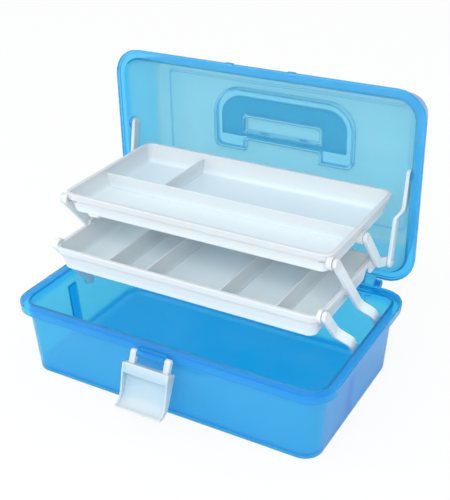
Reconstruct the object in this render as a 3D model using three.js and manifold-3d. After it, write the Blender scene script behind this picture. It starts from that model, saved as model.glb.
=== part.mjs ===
// Sewing box with two cantilever trays, standing open. Millimetres, +Z up, the front faces -Y.
// The origin is the middle of the tub's underside.
import * as THREE from 'three';
import { mergeVertices } from 'three/addons/utils/BufferGeometryUtils.js';
import Module from 'manifold-3d';

const wasm = await Module();
wasm.setup();

// ---- driving sizes -------------------------------------------------------------------------
const RIM_WIDTH = 330;            // overall width over the rim flanges
const RIM_DEPTH = 192;            // overall depth over the rim flanges
const TUB_HEIGHT = 75;
const LID_HEIGHT = 56;            // lid rim to its top border
const FLANGE = 8;                 // how far a rim flange stands out from its wall
const FLANGE_THICK = 2.2;
const SKIRT_DROP = 8.5;           // depth of the tub's turned-down rim
const WALL = 2;
const GAP = 0.3;                  // running gap between neighbours
const CORNER = 20;                // plan radius of the tub and lid walls
const TUB_DRAFT_X = 5.5;          // the tub is narrower at its foot by this much a side
const TUB_DRAFT_Y = 1.5;
const LID_DRAFT_X = 7.4;
const LID_DRAFT_FRONT = 12;
const LID_DRAFT_BACK = 6.5;
const OPEN_ANGLE = 90;            // how far the lid has swung back, degrees

// hinge between tub and lid
const HINGE_BACK = 5;             // axis behind the rim's rear edge
const HINGE_IN = 43;              // middle of each hinge, in from the rim's end
const KNUCKLE_HALF = 6;           // the lid's knuckle, half its width
const BARREL_END = 12;            // outer end of the tub's knuckles from the hinge's middle
const HINGE_RADIUS = 4.3;
const PIN_RADIUS = 2.1;

// trays
const TRAY_IN = 27;               // side of a tray, in from the rim's end
const TRAY_WALL = 1.6;
const LOWER_LESS = 65;            // how much shallower the lower tray is than the box
const LOWER_HEIGHT = 24;
const UPPER_LESS = 46;
const UPPER_HEIGHT = 20.5;
const TRAY_DRAFT = 4;
const LIP_OUT = 2.4;
const LIP_TALL = 7;
const LIP_THICK = 1.5;
const LOWER_RIM_UP = 1.92;        // tray rim above its front pivots
const UPPER_RIM_UP = 8.01;
const LOWER_MIDDLE_BACK = 54.23;  // middle of a tray behind its front pivots
const UPPER_MIDDLE_BACK = 67.93;

// arms: every pivot is (y, z) in the open pose
const BASE_DOWN = 23;             // base pivots below the tub's rim
const FRONT_BASE_Y = 10;
const REAR_BASE_Y = 62;
const ARM_ANGLE = 129.48;         // lean of the arms from +Y, degrees
const ARM_LOWER = 90.8;           // base pivot to lower tray pivot
const ARM_UPPER = 53;             // lower tray pivot to upper tray pivot
const CRANK = [0.4, 0.62];        // where an arm steps inwards, of its lower reach
const LINK_CRANK = [0.36, 0.52];
const STUD_SHY = 0.6;             // studs end this far inside the outer wall
const REAR_STEP = [0.4, -8.3];    // rear arm's pivot from the lower tray's rear rim
const FOOT_STEP = [22.4, -9.1];   // rear arm's foot from its pivot
const TOP_STEP = [8.6, 115.65];   // lid link's top pivot from the hinge axis
const ARM_THICK = 3.6;
const ARM_WIDTH = 9.5;
const STUD_RADIUS = 2.1;
const LINK_PLAY = 1;              // slack round the stud of the pivot that closes the linkage
const BOSS_RADIUS = 6.2;
const BOSS_PROUD = 1;             // bosses stand this far out of the tub's and lid's walls

// handle and its pocket, in the plane of the closed lid
const HANDLE_HALF = 70;
const HANDLE_FRONT = -46;
const GRIP_WIDE = 18;
const HANDLE_ARM_WIDE = 25;
const HANDLE_THICK = 5.4;
const HANDLE_AXIS_Y = -5.2;
const HANDLE_SUNK = 0.7;          // its face below the lid's top
const HANDLE_CORNER = 22;
const HANDLE_HEEL = 1;            // corner beside its axis
const ROD_RADIUS = 2.1;
const FINGER_ROOM = 6.5;          // pocket beyond the handle's outer edge
const POCKET_REAR = 10;
const POCKET_REAR_CORNER = 7;
const ROD_ROOM = 0.9;             // trough beyond the rod, front and rear
const STRAP_FROM = 18;            // each strap over the rod, from the middle
const STRAP_TO = 26;
const STRAP_THICK = 1;
const POCKET_DEEP = 6.8;
const PLATEAU_RISE = 1.2;
const PLATEAU_IN = 13.4;

// latch
const LATCH_WIDE = 48;
const LATCH_LONG = 51;
const LATCH_OPEN = 155;           // degrees from closed to hanging
const LATCH_FORWARD = 3.8;        // its axis in front of the rim
const LATCH_DOWN = 6.5;           // its axis below the tub's rim
const LATCH_PIN_RADIUS = 1.9;
const LUG_HALF = 14.5;
const POST_WIDE = 6;
const LUG_RADIUS = 3.2;
const LUG_UP = 4.5;               // top of the lug above its axis
const LATCH_SIDE = 4.4;           // latch's outer face in front of its axis when closed
const LATCH_WALL = 1.8;
const LATCH_ROOM = 0.7;           // latch bar above the lid's flange
const HOOK_TALL = 3.4;
const HOOK_APRON = 6.1;           // wall that hangs from the hook's front edge
const CURL_OUT = 12.1;            // how far the free end curls out for a thumb
const CURL_RISE = 14;             // length of the latch that the curl takes
const CURL_STEPS = 6;

// small fittings and divider positions
const PAD_FRONT = -22;            // stiffening pad on each side wall
const PAD_WIDE = 12;
const PAD_LOW = 11;
const PAD_HIGH = 57;
const PAD_THICK = 1.3;
const PAD_ROOT = 1;               // ribs and pads run this far into the wall they stand on
const TEE_WIDE = 14;              // tee-shaped rib inside each hinge
const TEE_STEM = 4;
const TEE_PROUD = 2.2;
const LID_BEAD = 4.6;             // height of the lid's turned-up rim
const BEAD_GATE = 29;             // half the gap in the bead where the latch hooks on
const GATE_POST = 8;              // length of the thick end on each side of that gap
const GATE_PROUD = 1.8;
const POCKET_CORNER = 27;
const EAR_THICK = 2.6;            // ear that carries a rear arm
const STUD_DEEP = 4.6;            // how far a stud reaches in from a tray's side
const LOWER_DIVIDERS = [-77, -36, 41, 96];
const UPPER_LONG_FRONT = 7;       // long wall of the upper tray, in front of its middle
const DIVIDER_HALF = 0.8;
const LOWER_WALL_DOWN = 2;        // tray walls stop this far below the rim
const UPPER_WALL_DOWN = 4;
const UPPER_CROSS_X = -66.5;

// ---- derived sizes -------------------------------------------------------------------------
const rimX = RIM_WIDTH / 2;
const rimY = RIM_DEPTH / 2;
const wallX = rimX - FLANGE;
const wallY = rimY - FLANGE;
const footX = wallX - TUB_DRAFT_X;
const footY = wallY - TUB_DRAFT_Y;
const hingeX = rimX - HINGE_IN;
const hingeY = rimY + HINGE_BACK;
const hingeZ = TUB_HEIGHT + GAP / 2;
const lidRim = GAP / 2;           // heights in the lid are measured from the hinge axis
const lidTop = lidRim + LID_HEIGHT;
const trayX = rimX - TRAY_IN;
const armIn = trayX + GAP;
const armOut = armIn + ARM_THICK;
const tubInnerAt = (z) => footX + TUB_DRAFT_X * z / TUB_HEIGHT - WALL;
const basePivotZ = TUB_HEIGHT - BASE_DOWN;
const baseBossFace = tubInnerAt(basePivotZ) - BOSS_PROUD;
const footOut = baseBossFace - GAP;
const footIn = footOut - ARM_THICK;
const lidInnerAt = (h) => wallX - WALL - LID_DRAFT_X * (h - lidRim) / LID_HEIGHT;
const radians = THREE.MathUtils.degToRad;
const armDir = [Math.cos(radians(ARM_ANGLE)), Math.sin(radians(ARM_ANGLE))];
const along = (from, d) => [from[0] + armDir[0] * d, from[1] + armDir[1] * d];
const baseFront = [FRONT_BASE_Y, basePivotZ];
const baseRear = [REAR_BASE_Y, basePivotZ];
const lowerFront = along(baseFront, ARM_LOWER);
const lowerMiddle = along(baseRear, ARM_LOWER);
const upperFront = along(lowerMiddle, ARM_UPPER);
const lowerDepth = RIM_DEPTH - LOWER_LESS;
const upperDepth = RIM_DEPTH - UPPER_LESS;
const lowerRimZ = lowerFront[1] + LOWER_RIM_UP;
const upperRimZ = upperFront[1] + UPPER_RIM_UP;
const lowerMiddleY = lowerFront[0] + LOWER_MIDDLE_BACK;
const upperMiddleY = upperFront[0] + UPPER_MIDDLE_BACK;
const stepFrom = (from, step) => [from[0] + step[0], from[1] + step[1]];
const rearPivot = stepFrom([lowerMiddleY + lowerDepth / 2, lowerRimZ], REAR_STEP);
const linkFoot = stepFrom(rearPivot, FOOT_STEP);
const linkTop = stepFrom([hingeY, hingeZ], TOP_STEP);
const upperRear = along(rearPivot, ARM_UPPER);
// a point of the open pose, seen in the closed lid about the hinge axis
const linkTopLocal = [-TOP_STEP[1], TOP_STEP[0]];
const linkBossFace = lidInnerAt(linkTopLocal[1]) - BOSS_PROUD;
const linkUpperIn = linkBossFace - GAP - ARM_THICK;
const linkIn = armOut + GAP;
const linkOut = linkIn + ARM_THICK;
const linkVector = [linkFoot[0] - linkTop[0], linkFoot[1] - linkTop[1]];
const linkLength = Math.hypot(...linkVector);
const linkAngle = THREE.MathUtils.radToDeg(Math.atan2(linkVector[1], linkVector[0]));
const handleAxisZ = lidTop - HANDLE_SUNK - HANDLE_THICK / 2;
const latchAxisY = -rimY - LATCH_FORWARD;
const latchAxisZ = TUB_HEIGHT - LATCH_DOWN;
const SIDES = [['right', 1], ['left', -1]];

// ---- solids --------------------------------------------------------------------------------
function solid(geometry) {
  const bare = geometry.clone();
  bare.deleteAttribute('normal');
  bare.deleteAttribute('uv');
  const joined = mergeVertices(bare, 1e-4);
  return new wasm.Manifold(new wasm.Mesh({
    numProp: 3,
    vertProperties: new Float32Array(joined.attributes.position.array),
    triVerts: new Uint32Array(joined.index.array),
  }));
}

function mesh(name, body, material, parent) {
  const out = body.getMesh();
  const geometry = new THREE.BufferGeometry();
  const points = new Float32Array(out.vertProperties);
  geometry.setAttribute('position', new THREE.BufferAttribute(points, 3));
  geometry.setIndex(new THREE.BufferAttribute(new Uint32Array(out.triVerts), 1));
  geometry.computeVertexNormals();
  const piece = new THREE.Mesh(geometry, material);
  piece.name = name;
  parent.add(piece);
  return piece;
}

function box(x0, x1, y0, y1, z0, z1) {
  const geometry = new THREE.BoxGeometry(Math.abs(x1 - x0), y1 - y0, z1 - z0);
  geometry.translate((x0 + x1) / 2, (y0 + y1) / 2, (z0 + z1) / 2);
  return solid(geometry);
}

// round bar along X
function barX(radius, x0, x1, y, z, sides = 24) {
  const geometry = new THREE.CylinderGeometry(radius, radius, Math.abs(x1 - x0), sides);
  geometry.rotateZ(Math.PI / 2);
  geometry.translate((x0 + x1) / 2, y, z);
  return solid(geometry);
}

// rectangle with one radius at its front corners and another at its rear corners
function roundedRect(halfX, y0, y1, radius, rear = radius) {
  const shape = new THREE.Shape();
  shape.moveTo(-halfX + radius, y0);
  shape.lineTo(halfX - radius, y0);
  shape.absarc(halfX - radius, y0 + radius, radius, -Math.PI / 2, 0, false);
  shape.lineTo(halfX, y1 - rear);
  shape.absarc(halfX - rear, y1 - rear, rear, 0, Math.PI / 2, false);
  shape.lineTo(-halfX + rear, y1);
  shape.absarc(-halfX + rear, y1 - rear, rear, Math.PI / 2, Math.PI, false);
  shape.lineTo(-halfX, y0 + radius);
  shape.absarc(-halfX + radius, y0 + radius, radius, Math.PI, Math.PI * 1.5, false);
  return shape;
}

function slab(shape, z0, z1, segments = 6) {
  const options = { depth: z1 - z0, bevelEnabled: false, curveSegments: segments };
  const geometry = new THREE.ExtrudeGeometry(shape, options);
  geometry.translate(0, 0, z0);
  return geometry;
}

// rounded block whose walls lean: low and high are [halfX, y0, y1] at z0 and z1
function leaning(low, high, radius, z0, z1, segments = 6) {
  const geometry = slab(roundedRect(low[0], low[1], low[2], radius), z0, z1, segments);
  const at = geometry.attributes.position;
  for (let i = 0; i < at.count; i += 1) {
    if (at.getZ(i) < (z0 + z1) / 2) continue;
    const across = (at.getY(i) - low[1]) / (low[2] - low[1]);
    at.setX(i, at.getX(i) * high[0] / low[0]);
    at.setY(i, high[1] + across * (high[2] - high[1]));
  }
  return solid(geometry);
}

// [halfX, y0, y1] brought in on every side
function shrunk(size, by) {
  return [size[0] - by, size[1] + by, size[2] - by];
}

// flat ring between two rounded outlines, each [halfX, y0, y1, radius]
function ring(outer, inner, z0, z1) {
  const body = solid(slab(roundedRect(...outer), z0, z1));
  return body.subtract(solid(slab(roundedRect(...inner), z0 - 1, z1 + 1)));
}

// the rim's outline brought in on every side
function rimOutline(by, middle = 0) {
  return [rimX - by, middle - rimY + by, middle + rimY - by, CORNER + 4 - by];
}

// strip that follows points (s, x) along an arm, with its width across
function strip(points, thick, width, side) {
  const shape = new THREE.Shape();
  points.forEach(([s, x], i) => (i ? shape.lineTo(s, -side * x) : shape.moveTo(s, -side * x)));
  [...points].reverse().forEach(([s, x]) => shape.lineTo(s, -side * (x + thick)));
  const geometry = new THREE.ExtrudeGeometry(shape, { depth: width, bevelEnabled: false });
  geometry.translate(0, 0, -width / 2);
  geometry.rotateZ(Math.PI / 2);
  return solid(geometry);
}

// profile given as (x, z) points, run along Y from y0 to y1
function runY(points, y0, y1) {
  const shape = new THREE.Shape();
  points.forEach(([x, z], i) => (i ? shape.lineTo(x, z) : shape.moveTo(x, z)));
  const geometry = new THREE.ExtrudeGeometry(shape, { depth: y1 - y0, bevelEnabled: false });
  geometry.rotateX(Math.PI / 2);
  geometry.translate(0, y1, 0);
  return solid(geometry);
}

// profile given as (y, z) points, run along X from x0 to x1
function runX(points, x0, x1) {
  const shape = new THREE.Shape();
  points.forEach(([y, z], i) => (i ? shape.lineTo(y, z) : shape.moveTo(y, z)));
  const geometry = new THREE.ExtrudeGeometry(shape, { depth: x1 - x0, bevelEnabled: false });
  geometry.rotateX(Math.PI / 2);
  geometry.rotateZ(Math.PI / 2);
  geometry.translate(x0, 0, 0);
  return solid(geometry);
}

const all = (bodies) => bodies.reduce((sum, body) => sum.add(body));

function pivotGroup(name, pivot, angle) {
  const group = new THREE.Group();
  group.name = name;
  group.position.set(0, pivot[0], pivot[1]);
  group.rotation.x = radians(angle);
  return group;
}

// ---- materials -----------------------------------------------------------------------------
const plastic = (color, roughness) => new THREE.MeshStandardMaterial({ color, roughness, metalness: 0 });
const tubBlue = plastic(0x2fb2ee, 0.25);
const lidBlue = plastic(0x86cfec, 0.25);
const handleBlue = plastic(0x3fb4e6, 0.3);
const milkWhite = plastic(0xe8f1f6, 0.4);
const trayWhite = plastic(0xe4eef3, 0.4);
const latchWhite = plastic(0xe9f2f5, 0.35);

const sewingBox = new THREE.Group();
sewingBox.name = 'sewing_box';

// ---- tub -----------------------------------------------------------------------------------
function tubShell() {
  const low = [footX, -footY, footY];
  const high = [wallX, -wallY, wallY];
  const over = 1 / TUB_HEIGHT;    // the cavity's cutter runs on 1 mm above the rim
  const above = shrunk(high, WALL - TUB_DRAFT_X * over);
  const shell = leaning(low, high, CORNER - 3, 0, TUB_HEIGHT, 7);
  const inner = leaning(shrunk(low, WALL), above, CORNER - 3 - WALL, WALL, TUB_HEIGHT + 1, 7);
  return [shell, inner];
}

function tubRim() {
  const inWall = rimOutline(FLANGE + 1);
  const flange = ring(rimOutline(0), inWall, TUB_HEIGHT - FLANGE_THICK, TUB_HEIGHT);
  const skirt = ring(rimOutline(0), rimOutline(WALL), TUB_HEIGHT - SKIRT_DROP, TUB_HEIGHT - 1);
  return flange.add(skirt);
}

function tubKnuckles() {
  const inner = KNUCKLE_HALF + GAP;
  const spans = [[hingeX - BARREL_END, hingeX - inner], [hingeX + inner, hingeX + BARREL_END]];
  const knuckles = [];
  for (const [, side] of SIDES) {
    for (const [x0, x1] of spans) {
      const barrel = barX(HINGE_RADIUS, side * x0, side * x1, hingeY, hingeZ);
      const web = box(side * x0, side * x1, rimY - 1.5, hingeY, TUB_HEIGHT - 4, TUB_HEIGHT - 0.05);
      const bore = barX(PIN_RADIUS + GAP, side * (x0 - 1), side * (x1 + 1), hingeY, hingeZ);
      knuckles.push(barrel.add(web).subtract(bore));
    }
  }
  return all(knuckles);
}

// stiffening pad low on each side wall
function sidePad(side) {
  const wall = (z, off) => [side * (tubInnerAt(z) + off), z];
  const section = [
    wall(PAD_LOW, PAD_ROOT),
    wall(PAD_HIGH, PAD_ROOT),
    wall(PAD_HIGH, -PAD_THICK),
    wall(PAD_LOW, -PAD_THICK),
  ];
  return runY(section, PAD_FRONT, PAD_FRONT + PAD_WIDE);
}

// tee-shaped rib on the rear wall inside each hinge
function hingeTee(side) {
  const y0 = wallY - WALL - TEE_PROUD;
  const y1 = wallY - WALL + PAD_ROOT;
  const x = side * hingeX;
  const cap = box(x - TEE_WIDE / 2, x + TEE_WIDE / 2, y0, y1, TUB_HEIGHT - 6, TUB_HEIGHT - 1);
  const stem = box(x - TEE_STEM / 2, x + TEE_STEM / 2, y0, y1, TUB_HEIGHT - 20, TUB_HEIGHT - 5);
  return cap.add(stem);
}

function tubPivotBosses() {
  const bosses = [];
  const holes = [];
  for (const [, side] of SIDES) {
    for (const [y, z] of [baseFront, baseRear]) {
      bosses.push(barX(BOSS_RADIUS, side * baseBossFace, side * (baseBossFace + 2), y, z));
      holes.push(barX(STUD_RADIUS + GAP, side * (baseBossFace - 1), side * (wallX + 1), y, z));
    }
  }
  return [all(bosses), all(holes)];
}

// lug on the front of the rim that the latch turns on
function tubLatchLug() {
  const y = latchAxisY;
  const z = latchAxisZ;
  const round = barX(LUG_RADIUS, -LUG_HALF, LUG_HALF, y, z);
  const web = box(-LUG_HALF, LUG_HALF, y, -rimY + 1, z - LUG_RADIUS + 0.1, z + LUG_UP);
  const bore = barX(LATCH_PIN_RADIUS + GAP, -LUG_HALF - 1, LUG_HALF + 1, y, z);
  return round.add(web).subtract(bore);
}

function buildTub(parent) {
  const [shell, inner] = tubShell();
  const [bosses, holes] = tubPivotBosses();
  const ribs = all(SIDES.map(([, side]) => sidePad(side).add(hingeTee(side))));
  const body = all([shell, tubRim()]).subtract(inner).add(ribs)
    .add(bosses).subtract(holes)
    .add(tubKnuckles()).add(tubLatchLug());
  mesh('tub', body, tubBlue, parent);
}

// ---- lid, built closed about the hinge axis and swung back by its group --------------------
const toHinge = (y) => y - hingeY;
const lidFoot = [wallX, toHinge(-wallY), toHinge(wallY)];
const lidHead = [wallX - LID_DRAFT_X, toHinge(-wallY + LID_DRAFT_FRONT), toHinge(wallY - LID_DRAFT_BACK)];
const lidLower = lidTop - PLATEAU_RISE;
const panelUnder = lidTop - WALL;
const pocketFloor = lidTop - POCKET_DEEP;

function lidShell() {
  const outer = leaning(lidFoot, lidHead, CORNER, lidRim, lidLower, 7);
  const inFoot = shrunk(lidFoot, WALL);
  const inner = leaning(inFoot, shrunk(lidHead, WALL), CORNER - WALL, lidRim, lidLower - WALL, 7);
  const below = solid(slab(roundedRect(...inFoot, CORNER - WALL), lidRim - 2, lidRim + 0.01, 7));
  const plate = shrunk(lidHead, PLATEAU_IN);
  const plateau = solid(slab(roundedRect(...plate, 4), lidLower - WALL - 0.5, lidTop, 4));
  const recessPlan = roundedRect(...shrunk(plate, WALL), 3);
  const recess = solid(slab(recessPlan, lidLower - WALL - 1, panelUnder, 4));
  return outer.add(plateau).subtract(inner).subtract(below).subtract(recess);
}

function lidRimFlange() {
  const top = lidRim + LID_BEAD;
  const face = toHinge(-rimY);
  const flange = solid(slab(roundedRect(...rimOutline(0, -hingeY)), lidRim, lidRim + FLANGE_THICK));
  const bead = ring(rimOutline(0, -hingeY), rimOutline(WALL, -hingeY), lidRim + 1, top);
  const mouthPlan = roundedRect(...shrunk(lidFoot, 1), CORNER - 1);
  const mouth = solid(slab(mouthPlan, lidRim - 1, top + 1));
  const gate = box(-BEAD_GATE, BEAD_GATE, face - 1, face + WALL + 1, lidRim + FLANGE_THICK, top + 1);
  const posts = all([-1, 1].map((side) => box(side * BEAD_GATE, side * (BEAD_GATE + GATE_POST),
    face + 0.2, face + WALL + GATE_PROUD, lidRim + 1, top - 0.2)));
  return flange.subtract(mouth).add(bead.subtract(gate)).add(posts);
}

function lidKnuckles() {
  const half = KNUCKLE_HALF - GAP;
  const pin = BARREL_END - 0.5;
  const knuckles = [];
  for (const [, side] of SIDES) {
    const x = side * hingeX;
    knuckles.push(barX(HINGE_RADIUS, x - half, x + half, 0, 0));
    knuckles.push(box(x - half, x + half, toHinge(rimY) - 1.5, 0, lidRim + 0.1, 4));
    knuckles.push(barX(PIN_RADIUS, x - pin, x + pin, 0, 0));
  }
  return all(knuckles);
}

function lidLinkBosses() {
  const [y, z] = linkTopLocal;
  const face = linkBossFace;
  const bosses = SIDES.map(([, side]) => barX(BOSS_RADIUS, side * face, side * (face + 2.4), y, z));
  const bore = STUD_RADIUS + GAP;
  const holes = SIDES.map(([, side]) => barX(bore, side * (face - 1), side * (wallX + 1), y, z));
  return [all(bosses), all(holes)];
}

// arch-shaped trough for the handle with a narrow trough for its rod behind the window
function pocketOutline(grow) {
  const halfX = HANDLE_HALF + FINGER_ROOM + grow;
  const front = toHinge(HANDLE_FRONT) - FINGER_ROOM - grow;
  const rear = toHinge(POCKET_REAR) + grow;
  const windowX = HANDLE_HALF - HANDLE_ARM_WIDE - 1 - grow;
  const windowFront = toHinge(HANDLE_FRONT) + GRIP_WIDE + 1 + grow;
  const troughHalf = ROD_RADIUS + ROD_ROOM + grow;
  const troughFront = toHinge(HANDLE_AXIS_Y) - troughHalf;
  const troughRear = toHinge(HANDLE_AXIS_Y) + troughHalf;
  return { halfX, front, rear, windowX, windowFront, troughFront, troughRear };
}

function pocketPlan(o, grow) {
  return roundedRect(o.halfX, o.front, o.rear, POCKET_CORNER + grow, POCKET_REAR_CORNER);
}

function pocketBody(grow, z0, z1) {
  const o = pocketOutline(grow);
  const whole = solid(slab(pocketPlan(o, grow), z0, z1, 8));
  const window = box(-o.windowX, o.windowX, o.windowFront, o.troughFront, z0 - 1, z1 + 1);
  const between = box(-o.windowX, o.windowX, o.troughRear, o.rear + 5, z0 - 1, z1 + 1);
  return whole.subtract(window).subtract(between);
}

// straps over the rod trough that keep the handle in
function rodStraps() {
  const o = pocketOutline(0);
  const high = lidTop - 0.1;
  return all([-1, 1].map((side) => box(side * STRAP_FROM, side * STRAP_TO,
    o.troughFront - 1, o.troughRear + 1, high - STRAP_THICK, high)));
}

function buildLid(parent) {
  const group = pivotGroup('lid_swing', [hingeY, hingeZ], -OPEN_ANGLE);
  parent.add(group);
  const [bosses, holes] = lidLinkBosses();
  const boss = pocketBody(WALL, pocketFloor - WALL, panelUnder + 0.5);
  const trough = pocketBody(0, pocketFloor, lidTop + 1);
  const body = lidShell().add(lidRimFlange()).add(boss).subtract(trough).add(rodStraps())
    .add(bosses).subtract(holes).add(lidKnuckles());
  mesh('lid', body, lidBlue, group);
  return group;
}

// ---- handle ----------------------------------------------------------------------------------
function buildHandle(parent) {
  const group = new THREE.Group();
  group.name = 'handle_swing';
  group.position.set(0, toHinge(HANDLE_AXIS_Y), handleAxisZ);
  parent.add(group);
  const front = HANDLE_FRONT - HANDLE_AXIS_Y;
  const low = -HANDLE_THICK / 2;
  const high = HANDLE_THICK / 2;
  const plate = solid(slab(roundedRect(HANDLE_HALF, front, 3, HANDLE_CORNER, HANDLE_HEEL), low, high, 8));
  const windowX = HANDLE_HALF - HANDLE_ARM_WIDE;
  const window = box(-windowX, windowX, front + GRIP_WIDE, 5, low - 1, high + 1);
  const behind = box(-HANDLE_HALF - 1, HANDLE_HALF + 1, 0, 5, low - 1, high + 1);
  const trimmed = plate.subtract(window).subtract(behind);
  const ends = all([-1, 1].map((side) => barX(HANDLE_THICK / 2, side * windowX, side * HANDLE_HALF, 0, 0)));
  const rod = barX(ROD_RADIUS, -windowX - 1, windowX + 1, 0, 0);
  mesh('handle', trimmed.add(ends).add(rod), handleBlue, group);
}

// ---- latch, built closed about its pins and swung down ---------------------------------------
function latchSections(low) {
  const back = LATCH_FORWARD + 3.6;
  const inner = -LATCH_SIDE + LATCH_WALL;
  const curl = (start, out, rise) => Array.from({ length: CURL_STEPS + 1 }, (_, i) => {
    const turn = (Math.PI / 2) * (i / CURL_STEPS);
    return [start + out * (1 - Math.cos(turn)), LATCH_LONG - CURL_RISE + rise * Math.sin(turn)];
  });
  const outside = curl(-LATCH_SIDE, CURL_OUT, CURL_RISE);
  const inside = curl(inner, CURL_OUT - LATCH_WALL, CURL_RISE - LATCH_WALL);
  const panel = [[-LATCH_SIDE, low], [inner, low], ...inside, ...outside.toReversed()];
  const flank = [
    [-LATCH_SIDE, low],
    [back, low],
    [back - 1.2, low + 10],
    [back - 5, LATCH_LONG - CURL_RISE],
    [back - 4.4, LATCH_LONG - 0.5 * CURL_RISE],
    inside[CURL_STEPS],
    ...outside.toReversed(),
  ];
  const front = LATCH_FORWARD + 2;
  const hook = [
    [-LATCH_SIDE + 0.5, low],
    [front, low],
    [front, low + HOOK_TALL],
    [front - 0.4, low + HOOK_TALL + HOOK_APRON],
    [front - LATCH_WALL - 0.4, low + HOOK_TALL + HOOK_APRON],
    [front - LATCH_WALL - 0.4, low + HOOK_TALL],
    [-LATCH_SIDE + 0.5, low + HOOK_TALL],
  ];
  return { flank, panel, hook };
}

function buildLatch(parent) {
  const group = pivotGroup('latch_swing', [latchAxisY, latchAxisZ], LATCH_OPEN);
  parent.add(group);
  const half = LATCH_WIDE / 2;
  const low = LATCH_DOWN + GAP + FLANGE_THICK + LATCH_ROOM;
  const { flank, panel, hook } = latchSections(low);
  const pieces = [runX(panel, -half, half), runX(hook, -half + 1, half - 1)];
  for (const [, side] of SIDES) {
    const x = side * (half - LATCH_WALL / 2);
    pieces.push(runX(flank, x - LATCH_WALL / 2, x + LATCH_WALL / 2));
    const post = side * (LUG_HALF + GAP + POST_WIDE / 2);
    const x0 = post - POST_WIDE / 2;
    const x1 = post + POST_WIDE / 2;
    pieces.push(box(x0, x1, -2.6, 2.6, 0, low + HOOK_TALL - 0.4));
    pieces.push(barX(POST_WIDE / 2, x0, x1, 0, 0));
    pieces.push(barX(LATCH_PIN_RADIUS, side * (LUG_HALF - 5), post, 0, 0));
  }
  mesh('latch', all(pieces), latchWhite, group);
}

// ---- trays ------------------------------------------------------------------------------------
function trayBody(depth, middle, rimZ, height) {
  const y0 = middle - depth / 2;
  const y1 = middle + depth / 2;
  const lipX = trayX;
  const high = [lipX - LIP_OUT, y0 + LIP_OUT, y1 - LIP_OUT];
  const low = shrunk(high, TRAY_DRAFT);
  const z0 = rimZ - height;
  const outer = leaning(low, high, 6, z0, rimZ, 4);
  const lean = TRAY_DRAFT * (rimZ + 1 - z0 - TRAY_WALL) / height;
  const innerLow = shrunk(low, TRAY_WALL - TRAY_DRAFT * TRAY_WALL / height);
  const inner = leaning(innerLow, shrunk(innerLow, -lean), 5, z0 + TRAY_WALL, rimZ + 1, 4);
  const band = solid(slab(roundedRect(lipX, y0, y1, 8), rimZ - LIP_TALL, rimZ, 5));
  const coreOutline = shrunk([lipX, y0, y1], LIP_THICK);
  const bandCore = solid(slab(roundedRect(...coreOutline, 6.5), rimZ - LIP_TALL - 1, rimZ - LIP_THICK, 5));
  const half = TRAY_WALL / 2;
  const core = leaning(shrunk(low, half), shrunk(high, half), 5.5, z0 + half, rimZ, 4);
  return { outer: outer.add(band.subtract(bandCore.subtract(outer))), inner, core, z0, y0, y1 };
}

// wall that stands across a tray, ending half-way into the tray's own walls
function divider(tray, x0, x1, y0, y1, top) {
  return box(x0, x1, y0, y1, tray.z0, top).intersect(tray.core);
}

function trayBosses(pivots, skinAt) {
  const bosses = [];
  const holes = [];
  for (const [, side] of SIDES) {
    for (const [y, z] of pivots) {
      bosses.push(barX(BOSS_RADIUS, side * (skinAt(z) - 1), side * trayX, y, z));
      holes.push(barX(STUD_RADIUS + GAP, side * (skinAt(z) - 8), side * (trayX + 1), y, z));
    }
  }
  return [all(bosses), all(holes)];
}

function traySkin(rimZ, height) {
  const lean = (z) => TRAY_DRAFT * Math.min(1, Math.max(0, (rimZ - z) / height));
  return (z) => trayX - LIP_OUT - lean(z) - TRAY_WALL;
}

function buildLowerTray(parent) {
  const tray = trayBody(lowerDepth, lowerMiddleY, lowerRimZ, LOWER_HEIGHT);
  const skin = traySkin(lowerRimZ, LOWER_HEIGHT);
  const [bosses, holes] = trayBosses([lowerFront, lowerMiddle], skin);
  const top = lowerRimZ - LOWER_WALL_DOWN;
  const half = DIVIDER_HALF;
  const walls = LOWER_DIVIDERS.map((x) => divider(tray, x - half, x + half, tray.y0, tray.y1, top));
  let body = tray.outer.add(bosses).subtract(tray.inner).add(all(walls)).subtract(holes);
  for (const [, side] of SIDES) body = body.add(rearEar(side));
  mesh('lower_tray', body, trayWhite, parent);
}

// ear behind each rear corner of the lower tray, carrying the rear arm
function rearEar(side) {
  const [y, z] = rearPivot;
  const x0 = side * (trayX - EAR_THICK);
  const x1 = side * trayX;
  const end = lowerMiddleY + lowerDepth / 2;
  const round = barX(BOSS_RADIUS, x0, x1, y, z);
  const web = box(x0, x1, end - 12, y, z - BOSS_RADIUS + 0.5, z + BOSS_RADIUS - 0.5);
  return round.add(web).subtract(barX(STUD_RADIUS + GAP, x0 - side, x1 + side, y, z));
}

function buildUpperTray(parent) {
  const tray = trayBody(upperDepth, upperMiddleY, upperRimZ, UPPER_HEIGHT);
  const skin = traySkin(upperRimZ, UPPER_HEIGHT);
  const [bosses, holes] = trayBosses([upperFront, upperRear], skin);
  const top = upperRimZ - UPPER_WALL_DOWN;
  const half = DIVIDER_HALF;
  const longY = upperMiddleY - UPPER_LONG_FRONT;
  const walls = [
    divider(tray, -trayX, trayX, longY - half, longY + half, top),
    divider(tray, UPPER_CROSS_X - half, UPPER_CROSS_X + half, longY, tray.y1, top),
  ];
  const body = tray.outer.add(bosses).subtract(tray.inner).add(all(walls)).subtract(holes);
  mesh('upper_tray', body, milkWhite, parent);
}

// ---- arms and links ----------------------------------------------------------------------------
// round end of an arm
function eye(side, x0, s) {
  return barX(ARM_WIDTH / 2, side * x0, side * (x0 + ARM_THICK), s, 0);
}

// stud from an arm's face into its neighbour
function stud(side, x0, x1, s) {
  return barX(STUD_RADIUS, side * x0, side * x1, s, 0, 20);
}

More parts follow.
